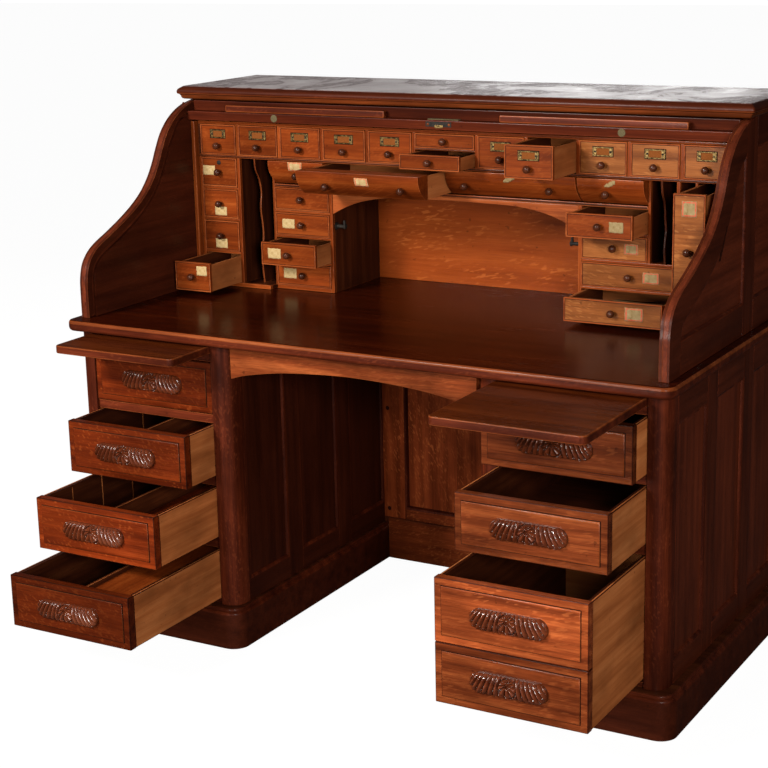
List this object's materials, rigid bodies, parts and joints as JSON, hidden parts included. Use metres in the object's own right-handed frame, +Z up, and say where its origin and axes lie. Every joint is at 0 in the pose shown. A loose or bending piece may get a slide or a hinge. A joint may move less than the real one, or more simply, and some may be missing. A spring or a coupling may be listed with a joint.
{
  "type": "roll top desk",
  "caption": "Two-pedestal oak roll top desk with an open tambour, a gallery of small drawers and letter slots, pull-out writing slides and pedestal drawers.",
  "frame": {"origin": "middle of the desk's bounding box on the floor, in the stored pose with its drawers part open", "axes": "+Z up, front and drawers face -Y, +X to the right of someone facing the desk"},
  "size_m": [1.556, 1.1765, 1.277],
  "materials": {
    "case_oak": "dark red-brown stained oak under satin varnish",
    "drawer_oak": "red-brown stained quartersawn oak under satin varnish, with pale unvarnished sides",
    "gallery_oak": "golden brown quartersawn oak under satin varnish",
    "tambour_oak": "stained oak slats on canvas, satin varnish"
  },
  "bodies": {
    "desk_case": {"crown_top": "case_oak", "upper_end_left": "case_oak", "upper_end_right": "case_oak", "upper_back": "case_oak", "writing_top": "case_oak", "gallery_top_frame": "gallery_oak", "gallery_left_case": "gallery_oak", "gallery_right_case": "gallery_oak", "pedestal_left_outer_side": "case_oak", "pedestal_left_inner_side": "case_oak", "pedestal_left_frame": "case_oak", "plinth_left": "case_oak", "pedestal_right_outer_side": "case_oak", "pedestal_right_inner_side": "case_oak", "pedestal_right_frame": "case_oak", "plinth_right": "case_oak", "kneehole_back": "case_oak", "kneehole_apron": "case_oak"},
    "pedestal_drawer_left_1": {"pedestal_drawer_left_1": "drawer_oak"},
    "pedestal_drawer_left_2": {"pedestal_drawer_left_2": "drawer_oak"},
    "pedestal_drawer_left_3": {"pedestal_drawer_left_3": "drawer_oak"},
    "pedestal_drawer_left_4": {"pedestal_drawer_left_4": "drawer_oak"},
    "pedestal_drawer_right_1": {"pedestal_drawer_right_1": "drawer_oak"},
    "pedestal_drawer_right_2": {"pedestal_drawer_right_2": "drawer_oak"},
    "pedestal_drawer_right_3": {"pedestal_drawer_right_3": "drawer_oak"},
    "writing_slide_left": {"writing_slide_left": "case_oak"},
    "writing_slide_right": {"writing_slide_right": "case_oak"},
    "card_drawer_01": {"card_drawer_01": "gallery_oak"},
    "card_drawer_02": {"card_drawer_02": "gallery_oak"},
    "card_drawer_03": {"card_drawer_03": "gallery_oak"},
    "card_drawer_04": {"card_drawer_04": "gallery_oak"},
    "card_drawer_05": {"card_drawer_05": "gallery_oak"},
    "card_drawer_06": {"card_drawer_06": "gallery_oak"},
    "card_drawer_07": {"card_drawer_07": "gallery_oak"},
    "card_drawer_08": {"card_drawer_08": "gallery_oak"},
    "card_drawer_09": {"card_drawer_09": "gallery_oak"},
    "card_drawer_10": {"card_drawer_10": "gallery_oak"},
    "centre_drawer_upper": {"centre_drawer_upper": "gallery_oak"},
    "centre_drawer_lower": {"centre_drawer_lower": "gallery_oak"},
    "column_drawer_1": {"column_drawer_1": "gallery_oak"},
    "column_drawer_2": {"column_drawer_2": "gallery_oak"},
    "column_drawer_3": {"column_drawer_3": "gallery_oak"},
    "column_drawer_4": {"column_drawer_4": "gallery_oak"},
    "cove_drawer_1": {"cove_drawer_1": "gallery_oak"},
    "cove_drawer_2": {"cove_drawer_2": "gallery_oak"},
    "cove_drawer_3": {"cove_drawer_3": "gallery_oak"},
    "cove_drawer_4": {"cove_drawer_4": "gallery_oak"},
    "stack_left_1": {"stack_left_1": "gallery_oak"},
    "stack_left_2": {"stack_left_2": "gallery_oak"},
    "stack_left_3": {"stack_left_3": "gallery_oak"},
    "stack_left_4": {"stack_left_4": "gallery_oak"},
    "stack_right_1": {"stack_right_1": "gallery_oak"},
    "stack_right_2": {"stack_right_2": "gallery_oak"},
    "stack_right_3": {"stack_right_3": "gallery_oak"},
    "stack_right_4": {"stack_right_4": "gallery_oak"},
    "tall_drawer": {"tall_drawer": "gallery_oak"},
    "tambour_lift_rail": {"tambour_lift_rail": "tambour_oak"},
    "tambour_top_run": {"tambour_top_run": "tambour_oak"},
    "tambour_bend": {"tambour_bend": "tambour_oak"},
    "tambour_back_run": {"tambour_back_run": "tambour_oak"}
  },
  "joints": [
    {"name": "pedestal_drawer_left_1_travel", "type": "slide", "parent": "desk_case", "child": "pedestal_drawer_left_1", "axis": [0, -1, 0], "range_m": [0, 0.42]},
    {"name": "pedestal_drawer_left_2_travel", "type": "slide", "parent": "desk_case", "child": "pedestal_drawer_left_2", "axis": [0, -1, 0], "range_m": [-0.1165, 0.3035]},
    {"name": "pedestal_drawer_left_3_travel", "type": "slide", "parent": "desk_case", "child": "pedestal_drawer_left_3", "axis": [0, -1, 0], "range_m": [-0.247, 0.173]},
    {"name": "pedestal_drawer_left_4_travel", "type": "slide", "parent": "desk_case", "child": "pedestal_drawer_left_4", "axis": [0, -1, 0], "range_m": [-0.354, 0.066]},
    {"name": "pedestal_drawer_right_1_travel", "type": "slide", "parent": "desk_case", "child": "pedestal_drawer_right_1", "axis": [0, -1, 0], "range_m": [-0.078, 0.342]},
    {"name": "pedestal_drawer_right_2_travel", "type": "slide", "parent": "desk_case", "child": "pedestal_drawer_right_2", "axis": [0, -1, 0], "range_m": [-0.2, 0.22]},
    {"name": "pedestal_drawer_right_3_travel", "type": "slide", "parent": "desk_case", "child": "pedestal_drawer_right_3", "axis": [0, -1, 0], "range_m": [-0.292, 0.128]},
    {"name": "writing_slide_left_travel", "type": "slide", "parent": "desk_case", "child": "writing_slide_left", "axis": [0, -1, 0], "range_m": [-0.15, 0.19]},
    {"name": "writing_slide_right_travel", "type": "slide", "parent": "desk_case", "child": "writing_slide_right", "axis": [0, -1, 0], "range_m": [-0.316, 0.024]},
    {"name": "card_drawer_01_travel", "type": "slide", "parent": "desk_case", "child": "card_drawer_01", "axis": [0, -1, 0], "range_m": [0, 0.17]},
    {"name": "card_drawer_02_travel", "type": "slide", "parent": "desk_case", "child": "card_drawer_02", "axis": [0, -1, 0], "range_m": [0, 0.17]},
    {"name": "card_drawer_03_travel", "type": "slide", "parent": "desk_case", "child": "card_drawer_03", "axis": [0, -1, 0], "range_m": [0, 0.17]},
    {"name": "card_drawer_04_travel", "type": "slide", "parent": "desk_case", "child": "card_drawer_04", "axis": [0, -1, 0], "range_m": [0, 0.17]},
    {"name": "card_drawer_05_travel", "type": "slide", "parent": "desk_case", "child": "card_drawer_05", "axis": [0, -1, 0], "range_m": [0, 0.17]},
    {"name": "card_drawer_06_travel", "type": "slide", "parent": "desk_case", "child": "card_drawer_06", "axis": [0, -1, 0], "range_m": [0, 0.17]},
    {"name": "card_drawer_07_travel", "type": "slide", "parent": "desk_case", "child": "card_drawer_07", "axis": [0, -1, 0], "range_m": [-0.123, 0.047]},
    {"name": "card_drawer_08_travel", "type": "slide", "parent": "desk_case", "child": "card_drawer_08", "axis": [0, -1, 0], "range_m": [0, 0.17]},
    {"name": "card_drawer_09_travel", "type": "slide", "parent": "desk_case", "child": "card_drawer_09", "axis": [0, -1, 0], "range_m": [0, 0.17]},
    {"name": "card_drawer_10_travel", "type": "slide", "parent": "desk_case", "child": "card_drawer_10", "axis": [0, -1, 0], "range_m": [0, 0.17]},
    {"name": "centre_drawer_upper_travel", "type": "slide", "parent": "desk_case", "child": "centre_drawer_upper", "axis": [0, -1, 0], "range_m": [0, 0.17]},
    {"name": "centre_drawer_lower_travel", "type": "slide", "parent": "desk_case", "child": "centre_drawer_lower", "axis": [0, -1, 0], "range_m": [-0.077, 0.093]},
    {"name": "column_drawer_1_travel", "type": "slide", "parent": "desk_case", "child": "column_drawer_1", "axis": [0, -1, 0], "range_m": [0, 0.17]},
    {"name": "column_drawer_2_travel", "type": "slide", "parent": "desk_case", "child": "column_drawer_2", "axis": [0, -1, 0], "range_m": [0, 0.17]},
    {"name": "column_drawer_3_travel", "type": "slide", "parent": "desk_case", "child": "column_drawer_3", "axis": [0, -1, 0], "range_m": [0, 0.17]},
    {"name": "column_drawer_4_travel", "type": "slide", "parent": "desk_case", "child": "column_drawer_4", "axis": [0, -1, 0], "range_m": [-0.136, 0.034]},
    {"name": "cove_drawer_1_travel", "type": "slide", "parent": "desk_case", "child": "cove_drawer_1", "axis": [0, -1, 0], "range_m": [0, 0.17]},
    {"name": "cove_drawer_2_travel", "type": "slide", "parent": "desk_case", "child": "cove_drawer_2", "axis": [0, -1, 0], "range_m": [-0.128, 0.042]},
    {"name": "cove_drawer_3_travel", "type": "slide", "parent": "desk_case", "child": "cove_drawer_3", "axis": [0, -1, 0], "range_m": [0, 0.17]},
    {"name": "cove_drawer_4_travel", "type": "slide", "parent": "desk_case", "child": "cove_drawer_4", "axis": [0, -1, 0], "range_m": [0, 0.17]},
    {"name": "stack_left_1_travel", "type": "slide", "parent": "desk_case", "child": "stack_left_1", "axis": [0, -1, 0], "range_m": [0, 0.15]},
    {"name": "stack_left_2_travel", "type": "slide", "parent": "desk_case", "child": "stack_left_2", "axis": [0, -1, 0], "range_m": [0, 0.15]},
    {"name": "stack_left_3_travel", "type": "slide", "parent": "desk_case", "child": "stack_left_3", "axis": [0, -1, 0], "range_m": [-0.07, 0.08]},
    {"name": "stack_left_4_travel", "type": "slide", "parent": "desk_case", "child": "stack_left_4", "axis": [0, -1, 0], "range_m": [0, 0.15]},
    {"name": "stack_right_1_travel", "type": "slide", "parent": "desk_case", "child": "stack_right_1", "axis": [0, -1, 0], "range_m": [-0.09, 0.06]},
    {"name": "stack_right_2_travel", "type": "slide", "parent": "desk_case", "child": "stack_right_2", "axis": [0, -1, 0], "range_m": [0, 0.15]},
    {"name": "stack_right_3_travel", "type": "slide", "parent": "desk_case", "child": "stack_right_3", "axis": [0, -1, 0], "range_m": [0, 0.15]},
    {"name": "stack_right_4_travel", "type": "slide", "parent": "desk_case", "child": "stack_right_4", "axis": [0, -1, 0], "range_m": [-0.1, 0.05]},
    {"name": "tall_drawer_travel", "type": "slide", "parent": "desk_case", "child": "tall_drawer", "axis": [0, -1, 0], "range_m": [-0.152, 0.018]},
    {"name": "tambour_lift_rail_travel", "type": "slide", "parent": "desk_case", "child": "tambour_lift_rail", "axis": [0, -1, 0], "range_m": [0, 0.03]},
    {"name": "tambour_top_run_travel", "type": "slide", "parent": "desk_case", "child": "tambour_top_run", "axis": [0, -1, 0], "range_m": [0, 0.03]},
    {"name": "tambour_bend_turn", "type": "hinge", "parent": "desk_case", "child": "tambour_bend", "pos_m": [0, 0.5085, 1.1655], "axis": [1, 0, 0], "range_deg": [0, 43]},
    {"name": "tambour_back_run_travel", "type": "slide", "parent": "desk_case", "child": "tambour_back_run", "axis": [0, 0, 1], "range_m": [0, 0.03]}
  ],
  "couplings": [
    {"joint": "tambour_top_run_travel", "follows": "tambour_lift_rail_travel", "ratio": 1},
    {"joint": "tambour_bend_turn", "follows": "tambour_lift_rail_travel", "rad_per_m": 25},
    {"joint": "tambour_back_run_travel", "follows": "tambour_lift_rail_travel", "ratio": 1}
  ]
}
